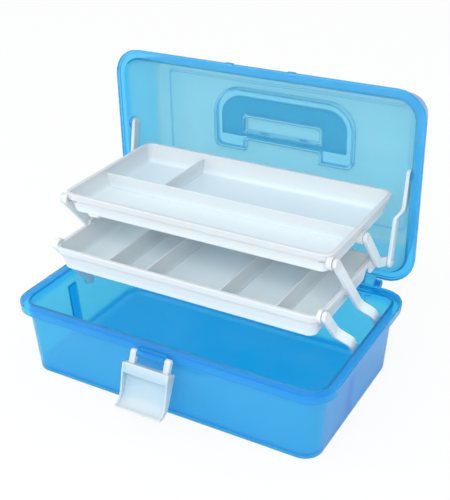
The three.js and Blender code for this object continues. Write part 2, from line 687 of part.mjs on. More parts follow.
// arm with its foot against the tub wall and the rest against the trays
function cranked(side, length, inward) {
  const bends = CRANK.map((share) => share * ARM_LOWER);
  const route = [[0, footIn], [bends[0], footIn], [bends[1], armIn], [length, armIn]];
  const pieces = [
    strip(route, ARM_THICK, ARM_WIDTH, side),
    eye(side, footIn, 0),
    eye(side, armIn, length),
    stud(side, footOut - 1, wallX - STUD_SHY, 0),
  ];
  inward.forEach(([s, depth]) => pieces.push(stud(side, armIn + 1, trayX - depth, s)));
  return all(pieces);
}

function buildArms(parent) {
  for (const [name, side] of SIDES) {
    const front = pivotGroup(`front_arm_${name}_swing`, baseFront, ARM_ANGLE);
    parent.add(front);
    mesh(`front_arm_${name}`, cranked(side, ARM_LOWER, [[ARM_LOWER, STUD_DEEP]]), milkWhite, front);
    const long = pivotGroup(`long_arm_${name}_swing`, baseRear, ARM_ANGLE);
    parent.add(long);
    const top = ARM_LOWER + ARM_UPPER;
    const studs = [[ARM_LOWER, STUD_DEEP], [top, STUD_DEEP]];
    mesh(`long_arm_${name}`, cranked(side, top, studs), milkWhite, long);
    const rear = pivotGroup(`rear_arm_${name}_swing`, rearPivot, ARM_ANGLE);
    parent.add(rear);
    mesh(`rear_arm_${name}`, rearArm(side), milkWhite, rear);
    const link = pivotGroup(`lid_link_${name}_swing`, linkTop, linkAngle);
    parent.add(link);
    mesh(`lid_link_${name}`, lidLink(side), milkWhite, link);
  }
}

// bell crank: up to the upper tray, back and down to the lid link
function rearArm(side) {
  const foot = new THREE.Vector2(linkFoot[0] - rearPivot[0], linkFoot[1] - rearPivot[1]);
  const turn = foot.angle() - radians(ARM_ANGLE);
  const reach = foot.length();
  const long = strip([[0, armIn], [ARM_UPPER, armIn]], ARM_THICK, ARM_WIDTH, side);
  const options = { depth: ARM_WIDTH, bevelEnabled: false };
  const short = new THREE.ExtrudeGeometry(footBlade(reach, side), options);
  short.translate(0, 0, -ARM_WIDTH / 2);
  short.rotateZ(Math.PI / 2);
  short.rotateX(turn);
  const y = Math.cos(turn) * reach;
  const z = Math.sin(turn) * reach;
  return all([long, solid(short), eye(side, armIn, 0), eye(side, armIn, ARM_UPPER),
    barX(ARM_WIDTH / 2, side * armIn, side * armOut, y, z),
    barX(STUD_RADIUS, side * (armOut - 1), side * (linkOut + 0.5), y, z, 20),
    stud(side, armIn + 1, trayX - 3.4, 0),
    stud(side, armIn + 1, trayX - STUD_DEEP, ARM_UPPER)]);
}

function footBlade(reach, side) {
  const blade = new THREE.Shape();
  blade.moveTo(0, -side * armIn);
  blade.lineTo(reach, -side * armIn);
  blade.lineTo(reach, -side * armOut);
  blade.lineTo(0, -side * armOut);
  blade.closePath();
  return blade;
}

// link from the lid's side wall down to the rear arm, stepping inwards part-way
function lidLink(side) {
  const length = linkLength;
  const bends = LINK_CRANK.map((share) => share * length);
  const route = [[0, linkUpperIn], [bends[0], linkUpperIn], [bends[1], linkIn], [length, linkIn]];
  const body = all([
    strip(route, ARM_THICK, ARM_WIDTH, side),
    eye(side, linkUpperIn, 0),
    barX(ARM_WIDTH / 2 + 0.8, side * linkIn, side * linkOut, length, 0),
    stud(side, linkUpperIn + ARM_THICK - 1, wallX - 2 * STUD_SHY, 0),
  ]);
  return body.subtract(barX(STUD_RADIUS + LINK_PLAY, side * (linkIn - 1), side * (linkOut + 1), length, 0));
}

buildTub(sewingBox);
const lidGroup = buildLid(sewingBox);
buildHandle(lidGroup);
buildLatch(sewingBox);
buildLowerTray(sewingBox);
buildUpperTray(sewingBox);
buildArms(sewingBox);

export default sewingBox;
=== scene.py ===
import math

import bmesh
import bpy
from mathutils import Euler, Matrix, Vector


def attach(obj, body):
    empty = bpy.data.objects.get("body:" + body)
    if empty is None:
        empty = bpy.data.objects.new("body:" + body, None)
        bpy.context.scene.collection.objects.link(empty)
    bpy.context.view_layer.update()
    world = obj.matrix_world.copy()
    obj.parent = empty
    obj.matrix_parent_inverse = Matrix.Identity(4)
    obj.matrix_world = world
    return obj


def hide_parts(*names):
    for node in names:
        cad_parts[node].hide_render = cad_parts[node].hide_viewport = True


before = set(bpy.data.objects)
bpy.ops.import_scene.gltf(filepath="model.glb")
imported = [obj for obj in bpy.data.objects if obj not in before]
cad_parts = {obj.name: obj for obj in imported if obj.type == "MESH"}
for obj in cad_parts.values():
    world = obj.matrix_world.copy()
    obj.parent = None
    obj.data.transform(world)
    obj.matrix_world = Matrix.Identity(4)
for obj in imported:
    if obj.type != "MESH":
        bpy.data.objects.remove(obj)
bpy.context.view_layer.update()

# ---- Camera -----------------------------------------------------------------------------------
# A short telephoto view from above the front right corner, level to within about a degree.
camera_data = bpy.data.cameras.new("camera")
camera_data.sensor_fit = "HORIZONTAL"
camera_data.sensor_width = 36.0
camera_data.lens = 74.872
camera_data.clip_end = 20.0
camera = bpy.data.objects.new("camera", camera_data)
aim = Euler((math.radians(90 - 28.0307), 0.0, math.radians(30.2047))).to_matrix()
roll = Matrix.Rotation(math.radians(-1.2046), 3, "Z")
camera.matrix_world = Matrix.Translation((0.39797, -0.65221, 0.53363)) @ (aim @ roll).to_4x4()
bpy.context.scene.collection.objects.link(camera)
bpy.context.scene.camera = camera

# ---- Tub --------------------------------------------------------------------------------------
# The tub is one injection moulding in clear blue polypropylene, 2 mm thick, with leaning walls and
# a rim turned down all round. Bosses for the arms, hinge barrels and the latch lug are part of it.
MM = 0.001
SIDES = (("right", 1), ("left", -1))


def outline(half_x, y0, y1, front, rear, z, steps=7):
    """A rectangle with rounded corners at height z, its points anticlockwise from above."""
    corners = (
        (half_x - front, y0 + front, -90, front),
        (half_x - rear, y1 - rear, 0, rear),
        (-half_x + rear, y1 - rear, 90, rear),
        (-half_x + front, y0 + front, 180, front),
    )
    points = []
    for middle_x, middle_y, start, radius in corners:
        for step in range(steps + 1):
            turn = math.radians(start + 90 * step / steps)
            points.append((middle_x + radius * math.cos(turn), middle_y + radius * math.sin(turn), z))
    return points


def soften(path, steps=3):
    """Rounds the corners of a path of (offset, height, radius) and returns (offset, height)."""
    softened = [path[0][:2]]
    for before, here, after in zip(path, path[1:], path[2:]):
        corner = Vector(here[:2])
        back = Vector(before[:2]) - corner
        on = Vector(after[:2]) - corner
        spread = back.angle(on)
        cut = min(here[2] / math.tan(spread / 2), 0.49 * back.length, 0.49 * on.length)
        start = corner + back.normalized() * cut
        end = corner + on.normalized() * cut
        for step in range(steps + 1):
            t = step / steps
            softened.append(tuple((1 - t) ** 2 * start + 2 * t * (1 - t) * corner + t * t * end))
    softened.append(path[-1][:2])
    return softened


def loft(name, loops):
    """A closed skin through loops of points in millimetres, with its two ends filled."""
    count = len(loops[0])
    points = [tuple(MM * value for value in point) for loop in loops for point in loop]
    faces = [tuple(reversed(range(count)))]
    for row in range(len(loops) - 1):
        low = row * count
        for i in range(count):
            j = (i + 1) % count
            faces.append((low + i, low + j, low + count + j, low + count + i))
    faces.append(tuple(range(len(points) - count, len(points))))
    data = bpy.data.meshes.new(name)
    data.from_pydata(points, [], faces)
    body = bpy.data.objects.new(name, data)
    bpy.context.scene.collection.objects.link(body)
    return body


def shell(name, path, base, corner, rear=None, steps=7):
    """A moulding whose section follows the path of (offset, height) round a leaning outline."""
    rear = corner if rear is None else rear
    loops = []
    for offset, height in path:
        half_x, y0, y1 = base(height)
        loops.append(outline(
            half_x + offset, y0 - offset, y1 + offset,
            max(corner + offset, 0.4), max(rear + offset, 0.4), height, steps))
    return loft(name, loops)


def leaning(low, high, z0, z1):
    """The outline (half width, front, back) at any height of a wall that leans from low to high."""
    def at(z):
        t = min(1.0, max(0.0, (z - z0) / (z1 - z0)))
        return [a + (b - a) * t for a, b in zip(low, high)]
    return at


def bar(radius, x0, x1, y, z, sides=32, ease=0.35):
    """A round bar along X with eased ends."""
    x0, x1 = sorted((x0, x1))
    ease = min(ease, radius / 2)
    loops = []
    for x, size in ((x0, radius - ease), (x0 + ease, radius), (x1 - ease, radius), (x1, radius - ease)):
        loops.append([
            (x, y + size * math.cos(2 * math.pi * i / sides), z + size * math.sin(2 * math.pi * i / sides))
            for i in range(sides)])
    return loft("bar", loops)


def block(x0, x1, y0, y1, z0, z1, ease=0.5):
    """A block with every edge eased."""
    x0, x1 = sorted((x0, x1))
    corners = [(x, y, z) for x in (x0, x1) for y in (y0, y1) for z in (z0, z1)]
    shape = bmesh.new()
    for corner in corners:
        shape.verts.new([MM * value for value in corner])
    bmesh.ops.convex_hull(shape, input=shape.verts)
    return eased("block", shape, ease)


def eased(name, shape, ease):
    """Turns a sharp bmesh into an object, with its edges rounded."""
    bmesh.ops.dissolve_limit(shape, angle_limit=0.01, verts=shape.verts, edges=shape.edges)
    bmesh.ops.recalc_face_normals(shape, faces=shape.faces)
    sharp = [edge for edge in shape.edges if edge.calc_face_angle(0) > 0.5]
    if ease:
        bmesh.ops.bevel(shape, geom=sharp, offset=MM * ease, segments=2, profile=0.5,
                        affect="EDGES", clamp_overlap=True)
    data = bpy.data.meshes.new(name)
    shape.to_mesh(data)
    shape.free()
    body = bpy.data.objects.new(name, data)
    bpy.context.scene.collection.objects.link(body)
    return body


def across(profile, x0, x1, ease=0.3):
    """A profile of (y, z) points run along X, with its edges eased."""
    x0, x1 = sorted((x0, x1))
    shape = bmesh.new()
    ends = [[shape.verts.new((MM * x, MM * y, MM * z)) for y, z in profile] for x in (x0, x1)]
    shape.faces.new(ends[0])
    shape.faces.new(reversed(ends[1]))
    for i in range(len(profile)):
        j = (i + 1) % len(profile)
        shape.faces.new((ends[0][i], ends[1][i], ends[1][j], ends[0][j]))
    return eased("across", shape, ease)


def combine(body, tools, how):
    """Joins tools to a body, cuts them from it, or keeps only what they share."""
    for tool in tools:
        step = body.modifiers.new("combine", "BOOLEAN")
        step.operation = how
        step.solver = "MANIFOLD"
        step.object = tool
        bpy.context.view_layer.objects.active = body
        bpy.ops.object.modifier_apply(modifier=step.name)
        bpy.data.objects.remove(tool)
    return body


def finish_piece(body, name, material, smooth=38):
    """Names a piece after its CAD node, smooths its rounded faces and hands it to its body."""
    body.name = name + "_moulding"
    body.data.name = body.name
    body.data.materials.clear()
    body.data.materials.append(material)
    for face in body.data.polygons:
        face.use_smooth = True
        face.material_index = 0
    body.data.set_sharp_from_angle(angle=math.radians(smooth))
    weigh = body.modifiers.new("flat faces stay flat", "WEIGHTED_NORMAL")
    weigh.keep_sharp = True
    weigh.weight = 100
    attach(body, name)
    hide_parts(name)
    return body


def surface_group():
    """The skin every moulding of this box has: fine mould grain, slow ripples where the plastic
    flowed, rubbed patches that are a little duller, and a mask of its sharp edges."""
    group = bpy.data.node_groups.new("moulded skin", "ShaderNodeTree")
    make = group.interface.new_socket
    for name, value in (("Grain Size", 900.0), ("Ripple Size", 14.0), ("Roughness", 0.2), ("Dulling", 0.1)):
        make(name, in_out="INPUT", socket_type="NodeSocketFloat").default_value = value
    for name, kind in (("Height", "Float"), ("Roughness", "Float"), ("Flow", "Float"), ("Edge", "Float")):
        make(name, in_out="OUTPUT", socket_type="NodeSocket" + kind)
    nodes = group.nodes
    link = group.links.new
    given = nodes.new("NodeGroupInput").outputs
    out = nodes.new("NodeGroupOutput").inputs
    place = nodes.new("ShaderNodeTexCoord").outputs["Object"]

    grain = nodes.new("ShaderNodeTexNoise")
    grain.inputs["Detail"].default_value = 2.0
    link(place, grain.inputs["Vector"])
    link(given["Grain Size"], grain.inputs["Scale"])
    ripple = nodes.new("ShaderNodeTexNoise")
    ripple.inputs["Detail"].default_value = 3.0
    ripple.inputs["Distortion"].default_value = 0.6
    link(place, ripple.inputs["Vector"])
    link(given["Ripple Size"], ripple.inputs["Scale"])
    rubbed = nodes.new("ShaderNodeTexNoise")
    rubbed.inputs["Scale"].default_value = 38.0
    rubbed.inputs["Detail"].default_value = 5.0
    rubbed.inputs["Roughness"].default_value = 0.65
    link(place, rubbed.inputs["Vector"])

    height = nodes.new("ShaderNodeMath")
    height.operation = "MULTIPLY_ADD"
    height.inputs[1].default_value = 0.25
    link(grain.outputs["Fac"], height.inputs[0])
    link(ripple.outputs["Fac"], height.inputs[2])
    link(height.outputs[0], out["Height"])
    dull = nodes.new("ShaderNodeMapRange")
    dull.inputs["From Min"].default_value = 0.48
    dull.inputs["From Max"].default_value = 0.72
    link(rubbed.outputs["Fac"], dull.inputs["Value"])
    rough = nodes.new("ShaderNodeMath")
    rough.operation = "MULTIPLY_ADD"
    link(dull.outputs[0], rough.inputs[0])
    link(given["Dulling"], rough.inputs[1])
    link(given["Roughness"], rough.inputs[2])
    link(rough.outputs[0], out["Roughness"])
    link(ripple.outputs["Fac"], out["Flow"])

    bevel = nodes.new("ShaderNodeBevel")
    bevel.samples = 4
    bevel.inputs["Radius"].default_value = 0.0011
    facing = nodes.new("ShaderNodeNewGeometry").outputs["Normal"]
    turned = nodes.new("ShaderNodeVectorMath")
    turned.operation = "DOT_PRODUCT"
    link(bevel.outputs[0], turned.inputs[0])
    link(facing, turned.inputs[1])
    edge = nodes.new("ShaderNodeMapRange")
    edge.inputs["From Min"].default_value = 0.992
    edge.inputs["From Max"].default_value = 0.93
    link(turned.outputs["Value"], edge.inputs["Value"])
    link(edge.outputs[0], out["Edge"])
    return group


moulded_skin = surface_group()


def plastic(name, axis, bands, worn, clear, milky=0.0, roughness=0.18, dulling=0.12, ripple=14.0, bump=0.05,
            haze=0.10, steep=0.0):
    """A tinted polypropylene. bands are (place in mm, colour) along an axis. Mostly the colour is deeper
    where the plastic is thicker or doubled, but the deep blue of the tub's floor is painted shade and
    the pale bluish floors of the trays are painted light. clear is how much light goes straight through,
    milky how much of the rest wanders inside the wall, haze how much paler the flow makes it, and
    steep how much deeper the colour is where the plastic is seen edgeways."""
    material = bpy.data.materials.new(name)
    material.use_nodes = True
    nodes = material.node_tree.nodes
    link = material.node_tree.links.new
    body = nodes["Principled BSDF"]
    body.inputs["IOR"].default_value = 1.22
    body.inputs["Transmission Weight"].default_value = clear
    body.inputs["Subsurface Weight"].default_value = milky
    body.inputs["Subsurface Radius"].default_value = (1.0, 1.0, 1.0)
    body.inputs["Subsurface Scale"].default_value = 0.006
    body.inputs["Coat Weight"].default_value = 0.25
    body.inputs["Coat Roughness"].default_value = 0.12
    skin = nodes.new("ShaderNodeGroup")
    skin.node_tree = moulded_skin
    skin.inputs["Ripple Size"].default_value = ripple
    skin.inputs["Roughness"].default_value = roughness
    skin.inputs["Dulling"].default_value = dulling

    place = nodes.new("ShaderNodeSeparateXYZ")
    link(nodes.new("ShaderNodeTexCoord").outputs["Object"], place.inputs[0])
    first, last = bands[0][0], bands[-1][0]
    level = nodes.new("ShaderNodeMapRange")
    level.inputs["From Min"].default_value = MM * first
    level.inputs["From Max"].default_value = MM * last
    link(place.outputs[axis], level.inputs["Value"])
    shade = nodes.new("ShaderNodeValToRGB")
    stops = shade.color_ramp.elements
    for where, _ in bands[1:-1]:
        stops.new((where - first) / (last - first))
    for stop, (_, colour) in zip(stops, bands):
        stop.color = (*colour, 1)
    link(level.outputs[0], shade.inputs["Fac"])
    flow = nodes.new("ShaderNodeMapRange")
    flow.inputs["From Min"].default_value = 0.35
    flow.inputs["From Max"].default_value = 0.70
    flow.inputs["To Max"].default_value = haze
    link(skin.outputs["Flow"], flow.inputs["Value"])
    tint = nodes.new("ShaderNodeMix")
    tint.name = "tint"
    tint.data_type = "RGBA"
    tint.inputs["B"].default_value = (0.75, 0.90, 0.97, 1)
    link(shade.outputs["Color"], tint.inputs["A"])
    link(flow.outputs[0], tint.inputs["Factor"])
    edged = nodes.new("ShaderNodeMix")
    edged.name = "edged"
    edged.data_type = "RGBA"
    edged.inputs["B"].default_value = (*worn, 1)
    link(tint.outputs["Result"], edged.inputs["A"])
    link(skin.outputs["Edge"], edged.inputs["Factor"])
    slant = nodes.new("ShaderNodeLayerWeight")
    slant.inputs["Blend"].default_value = 0.5
    long_way = nodes.new("ShaderNodeMapRange")
    long_way.inputs["From Min"].default_value = 0.50
    long_way.inputs["From Max"].default_value = 0.92
    long_way.inputs["To Max"].default_value = steep
    link(slant.outputs["Facing"], long_way.inputs["Value"])
    deeper = nodes.new("ShaderNodeMix")
    deeper.data_type = "RGBA"
    deeper.inputs["B"].default_value = (*worn, 1)
    link(edged.outputs["Result"], deeper.inputs["A"])
    link(long_way.outputs[0], deeper.inputs["Factor"])
    link(deeper.outputs["Result"], body.inputs["Base Color"])
    link(skin.outputs["Roughness"], body.inputs["Roughness"])
    lift = nodes.new("ShaderNodeBump")
    lift.inputs["Strength"].default_value = bump
    lift.inputs["Distance"].default_value = 0.001
    link(skin.outputs["Height"], lift.inputs["Height"])
    link(lift.outputs["Normal"], body.inputs["Normal"])
    return material


RIM_X, RIM_Y, TUB_TALL = 165.0, 96.0, 75.0
WALL, FLANGE = 2.0, 8.0
WALL_X, WALL_Y = RIM_X - FLANGE, RIM_Y - FLANGE
GAP = 0.3
HINGE_Y, HINGE_Z, HINGE_X = RIM_Y + 5.0, TUB_TALL + 0.15, 122.0
BASE_Z = 52.0
BASE_PIVOTS = ((10.0, BASE_Z), (62.0, BASE_Z))
STUD = 2.1
BOSS = 6.2

tub_wall = leaning((WALL_X - 5.5, -WALL_Y + 1.5, WALL_Y - 1.5), (WALL_X, -WALL_Y, WALL_Y), 0, TUB_TALL)
tub_section = soften((
    (-9, 0, 0), (0, 0, 1.8), (0, 72.8, 0.6), (6, 72.8, 0.5), (6, 66.5, 0.6), (8, 66.5, 0.7),
    (8, TUB_TALL, 1.3), (-WALL, TUB_TALL, 0.9), (-WALL, WALL, 2.2), (-11, WALL, 0)))
tub = shell("tub", tub_section, tub_wall, 17)


def tub_inside(z):
    return tub_wall(z)[0] - WALL


def stiffening_pad(side):
    """A shallow pad that runs up the middle of each side wall."""
    shape = bmesh.new()
    for z in (11, 57):
        for off in (1.0, -1.3):
            for y in (-22, -10):
                shape.verts.new((MM * side * (tub_inside(z) + off), MM * y, MM * z))
    bmesh.ops.convex_hull(shape, input=shape.verts)
    return eased("pad", shape, 0.35)


added = []
bored = []
boss_face = tub_inside(BASE_Z) - 1
for _, side in SIDES:
    added.append(stiffening_pad(side))
    back = WALL_Y - WALL
    added.append(block(side * (HINGE_X - 7), side * (HINGE_X + 7), back - 2.2, back + 1, 69, 74))
    added.append(block(side * (HINGE_X - 2), side * (HINGE_X + 2), back - 2.2, back + 1, 55, 70))
    for y, z in BASE_PIVOTS:
        added.append(bar(BOSS, side * boss_face, side * (boss_face + 2), y, z))
        bored.append(bar(STUD + GAP, side * (boss_face - 1), side * (WALL_X + 1), y, z))
    for x0, x1 in ((-12, -6 - GAP), (6 + GAP, 12)):
        x0, x1 = side * (HINGE_X + x0), side * (HINGE_X + x1)
        added.append(bar(4.3, x0, x1, HINGE_Y, HINGE_Z))
        added.append(block(x0, x1, RIM_Y - 1.5, HINGE_Y, TUB_TALL - 4, TUB_TALL - 0.05, 0.2))
        bored.append(bar(2.4, x0 - 1, x1 + 1, HINGE_Y, HINGE_Z))
LATCH_Y, LATCH_Z = -RIM_Y - 3.8, 68.5
added.append(bar(3.2, -14.5, 14.5, LATCH_Y, LATCH_Z))
added.append(block(-14.5, 14.5, LATCH_Y, -RIM_Y + 1, LATCH_Z - 3.1, LATCH_Z + 4.5, 0.4))
bored.append(bar(2.2, -15.5, 15.5, LATCH_Y, LATCH_Z))
combine(tub, added, "UNION")
combine(tub, bored, "DIFFERENCE")
# The deep blue of the bottom 4 mm is painted shade: the floor is the same 2 mm wall as the sides, coloured
# darker for the shadow it lies in on the table and under the trays. The deeper band at the top is the rim
# turned down, which doubles the plastic.
tub_blue = plastic(
    "tub blue", "Z",
    ((0, (0.008, 0.42, 0.88)), (4, (0.008, 0.42, 0.88)), (9, (0.10, 0.68, 0.95)), (62, (0.12, 0.70, 0.96)),
     (67, (0.05, 0.60, 0.97)), (75, (0.04, 0.58, 0.97))),
    (0.006, 0.34, 0.92), clear=0.78, milky=0.1, roughness=0.10, haze=0.03, steep=0.85)


def deepen_pads(material):
    """The stiffening pads are twice as thick as the wall, so their stripe of it is deeper blue."""
    nodes = material.node_tree.nodes
    link = material.node_tree.links.new
    place = nodes.new("ShaderNodeSeparateXYZ")
    link(nodes.new("ShaderNodeTexCoord").outputs["Object"], place.inputs[0])
    from_middle = nodes.new("ShaderNodeMath")
    from_middle.operation = "COMPARE"
    from_middle.inputs[1].default_value = -16 * MM
    from_middle.inputs[2].default_value = 6 * MM
    link(place.outputs["Y"], from_middle.inputs[0])
    from_side = nodes.new("ShaderNodeMath")
    from_side.operation = "ABSOLUTE"
    link(place.outputs["X"], from_side.inputs[0])
    at_side = nodes.new("ShaderNodeMath")
    at_side.operation = "GREATER_THAN"
    at_side.inputs[1].default_value = 145 * MM
    link(from_side.outputs[0], at_side.inputs[0])
    both = nodes.new("ShaderNodeMath")
    both.operation = "MULTIPLY"
    link(from_middle.outputs[0], both.inputs[0])
    link(at_side.outputs[0], both.inputs[1])
    below_rim = nodes.new("ShaderNodeMath")
    below_rim.operation = "LESS_THAN"
    below_rim.inputs[1].default_value = 58 * MM
    link(place.outputs["Z"], below_rim.inputs[0])
    mask = nodes.new("ShaderNodeMath")
    mask.operation = "MULTIPLY"
    link(both.outputs[0], mask.inputs[0])
    link(below_rim.outputs[0], mask.inputs[1])
    padded = nodes.new("ShaderNodeMix")
    padded.data_type = "RGBA"
    padded.inputs["B"].default_value = (0.010, 0.42, 0.88, 1)
    link(nodes["tint"].outputs["Result"], padded.inputs["A"])
    link(mask.outputs[0], padded.inputs["Factor"])
    link(padded.outputs["Result"], nodes["edged"].inputs["A"])


deepen_pads(tub_blue)
finish_piece(tub, "tub", tub_blue)

# ---- Lid --------------------------------------------------------------------------------------
# The lid is a thinner, paler moulding of the same plastic, with a raised middle panel, a pocket
# sunk in it for the handle, and a bead round its rim. It hangs on two hinge pins.
LID_RIM, LID_TOP = 0.15, 56.15
lid_foot = (WALL_X, -WALL_Y - HINGE_Y, WALL_Y - HINGE_Y)
lid_head = (WALL_X - 7.4, -WALL_Y + 12 - HINGE_Y, WALL_Y - 6.5 - HINGE_Y)
lid_wall = leaning(lid_foot, lid_head, LID_RIM, LID_TOP - 1.2)
lid_section = soften((
    (-26, 54.15, 0), (-15.4, 54.15, 0.6), (-15.4, 52.95, 0.5), (-WALL, 52.95, 3.0), (-WALL, LID_RIM, 0.6),
    (8, LID_RIM, 0.7), (8, 4.75, 0.6), (6, 4.75, 0.5), (6, 2.35, 0.5), (0, 2.35, 0.7),
    (0, 54.95, 4.0), (-13.4, 54.95, 0.6), (-13.4, 56.15, 0.6), (-26, 56.15, 0)))
lid = shell("lid", lid_section, lid_wall, 20)

HANDLE_HALF = 70.0
HANDLE_FRONT = -46.0 - HINGE_Y
HANDLE_AXIS = (-5.2 - HINGE_Y, LID_TOP - 0.7 - 2.7)
POCKET_FLOOR = LID_TOP - 6.8


def pocket(grow, z0, z1, ease):
    """The trough for the handle and its rod, grown on every side by grow."""
    steps = ((-ease, z0), (-0.3 * ease, z0 + 0.3 * ease), (0, z0 + ease), (0, z1))
    outer_x, outer_front, outer_rear = HANDLE_HALF + 6.5, HANDLE_FRONT - 6.5, 10 - HINGE_Y
    whole = loft("pocket", [
        outline(outer_x + grow + off, outer_front - grow - off, outer_rear + grow + off,
                27 + grow + off, 7 + off, z, 9) for off, z in steps])
    window_x, window_front = HANDLE_HALF - 26, HANDLE_FRONT + 19
    rod_front, rod_rear = HANDLE_AXIS[0] - 3.0, HANDLE_AXIS[0] + 3.0
    hole_steps = ((-ease, z0 - 1),) + steps[:3] + ((0, z1 + 1),)
    holes = []
    for y0, y1 in ((window_front, rod_front), (rod_rear, outer_rear + 12 + 2 * grow)):
        holes.append(loft("window", [
            outline(window_x - grow - off, y0 + grow + off, y1 - grow - off, 3.2 - off, 1.6 - off, z, 4)
            for off, z in hole_steps]))
    return combine(whole, holes, "DIFFERENCE")


combine(lid, [pocket(WALL, POCKET_FLOOR - WALL, LID_TOP - 1.5, 1.2)], "UNION")
combine(lid, [pocket(0, POCKET_FLOOR, LID_TOP + 1, 1.0)], "DIFFERENCE")
LINK_TOP = (-(190.8 - HINGE_Z), 109.6 - HINGE_Y)
link_face = lid_wall(LINK_TOP[1])[0] - WALL - 1
added = []
LID_EDGE, GATE, GATE_END = -RIM_Y - HINGE_Y, 29, 37
bored = [block(-GATE, GATE, LID_EDGE - 1, LID_EDGE + 3, 2.35, 6, 0)]
for _, side in SIDES:
    added.append(block(side * 18, side * 26, HANDLE_AXIS[0] - 4, HANDLE_AXIS[0] + 4,
                       LID_TOP - 1.1, LID_TOP - 0.1, 0.2))
    added.append(bar(BOSS, side * link_face, side * (link_face + 2.4), *LINK_TOP))
    bored.append(bar(STUD + GAP, side * (link_face - 1), side * (WALL_X + 1), *LINK_TOP))
    x0, x1 = side * HINGE_X - 6 + GAP, side * HINGE_X + 6 - GAP
    added.append(bar(4.3, x0, x1, 0, 0))
    added.append(block(x0, x1, RIM_Y - HINGE_Y - 1.5, 0, 0.25, 4, 0.3))
    added.append(bar(2.1, side * HINGE_X - 11.5, side * HINGE_X + 11.5, 0, 0))
    added.append(block(side * GATE, side * GATE_END, LID_EDGE + 0.2, LID_EDGE + 3.8, 1.15, 4.55, 0.4))
combine(lid, added, "UNION")
combine(lid, bored, "DIFFERENCE")
quarter_turn = Matrix.Rotation(math.radians(-90), 4, "X")
swung_back = Matrix.Translation((0, MM * HINGE_Y, MM * HINGE_Z)) @ quarter_turn
lid.data.transform(swung_back)
lid_blue = plastic(
    "lid blue", "Y",
    ((101, (0.09, 0.61, 0.96)), (106, (0.09, 0.61, 0.96)), (110, (0.17, 0.68, 0.94)),
     (146, (0.19, 0.70, 0.94)), (152, (0.29, 0.71, 0.87)), (158, (0.29, 0.71, 0.87))),
    (0.010, 0.34, 0.90), clear=0.78, milky=0.1, roughness=0.08, haze=0.05, steep=0.85)
finish_piece(lid, "lid", lid_blue)

# ---- Handle -----------------------------------------------------------------------------------
# A flat arched grip in the deeper blue, moulded with the thin rod that it turns on. The rod is
# pressed under two straps in the lid's pocket, and the grip folds flush into the pocket.
HANDLE_THICK = 5.4
GRIP_WIDE, GRIP_DEEP = 25, 18
ROD = 2.1


def grip(ease, z0, z1):
    """The flat arched grip, lying from the rod at y = 0, with softened edges."""
    steps = ((-ease, z0), (-0.3 * ease, z0 + 0.3 * ease), (0, z0 + ease),
             (0, z1 - ease), (-0.3 * ease, z1 - 0.3 * ease), (-ease, z1))
    front = HANDLE_FRONT - HANDLE_AXIS[0]
    whole = loft("handle", [
        outline(HANDLE_HALF + off, front - off, 0.0 + off, 22 + off, 1.4 + off, z, 9) for off, z in steps])
    window_steps = [(ease, z0 - 1), (ease, z0)]
    window_steps += [(-off, z) for off, z in steps[1:-1]]
    window_steps += [(ease, z1), (ease, z1 + 1)]
    window = loft("window", [
        outline(HANDLE_HALF - GRIP_WIDE + off, front + GRIP_DEEP - off, 8, 3.4 + off, 1.0, z, 5)
        for off, z in window_steps])
    return combine(whole, [window], "DIFFERENCE")


handle = grip(1.2, -HANDLE_THICK / 2, HANDLE_THICK / 2)
rod_half = HANDLE_HALF - GRIP_WIDE
turns = [bar(ROD, -rod_half - 1, rod_half + 1, 0, 0)]
for _, side in SIDES:
    turns.append(bar(HANDLE_THICK / 2, side * rod_half, side * HANDLE_HALF, 0, 0, ease=0.8))
combine(handle, turns, "UNION")
in_lid = swung_back @ Matrix.Translation((0, MM * HANDLE_AXIS[0], MM * HANDLE_AXIS[1]))
handle.data.transform(in_lid)
handle_blue = plastic(
    "handle blue", "Z",
    ((180, (0.07, 0.80, 1.0)), (260, (0.08, 0.82, 1.0))),
    (0.02, 0.40, 0.92), clear=0.5, milky=0.1, roughness=0.12, haze=0.04, steep=0.6)
finish_piece(handle, "handle", handle_blue)

# ---- Latch ------------------------------------------------------------------------------------
# A scooped clip in milky polypropylene. Two posts snap on the lug under the rim, a cross bar with
# a short front wall hooks over the lid's rim, and the free end curls out for a thumb. It hangs open.
HALF, LONG, OUTER, SKIN = 24.0, 51.0, 4.4, 1.8
LATCH_HANGS = math.radians(155)
HOOK_FRONT, HOOK_WALL = 5.8, 6.1
CURL_OUT, CURL_RISE = 12.1, 14.0
BAR_LOW = TUB_TALL + GAP + 2.2 + 0.7 - LATCH_Z
BAND_LOW = BAR_LOW + 3.4


def curl(start, out, rise, steps=12):
    """The free end's quarter turn, as (y, z) points from the flat of the panel to the lip."""
    turns = [math.pi / 2 * i / steps for i in range(steps + 1)]
    return [(start + out * (1 - math.cos(t)), LONG - CURL_RISE + rise * math.sin(t)) for t in turns]


outside = curl(-OUTER, CURL_OUT, CURL_RISE)
inside = curl(-OUTER + SKIN, CURL_OUT - SKIN, CURL_RISE - SKIN)
flank = [(-OUTER, BAR_LOW), (7.4, BAR_LOW), (6.9, BAR_LOW + 6), (6.0, BAR_LOW + 11), (4.4, BAR_LOW + 18),
         (3.0, LONG - 15.5), (2.4, LONG - 11.5), (2.9, LONG - 7.5), (4.6, LONG - 4.4), inside[-1]]
flank += outside[::-1]
panel = [(-OUTER, BAR_LOW), (-OUTER + SKIN, BAR_LOW)] + inside + outside[::-1]
hook = [(-OUTER + 0.5, BAR_LOW), (HOOK_FRONT, BAR_LOW), (HOOK_FRONT, BAND_LOW),
        (HOOK_FRONT - 0.4, BAND_LOW + HOOK_WALL), (HOOK_FRONT - 2.2, BAND_LOW + HOOK_WALL),
        (HOOK_FRONT - 2.2, BAND_LOW), (-OUTER + 0.5, BAND_LOW)]
latch = across(panel, -HALF, HALF, 0.5)
parts = [across(hook, -HALF + 1, HALF - 1, 0.4)]
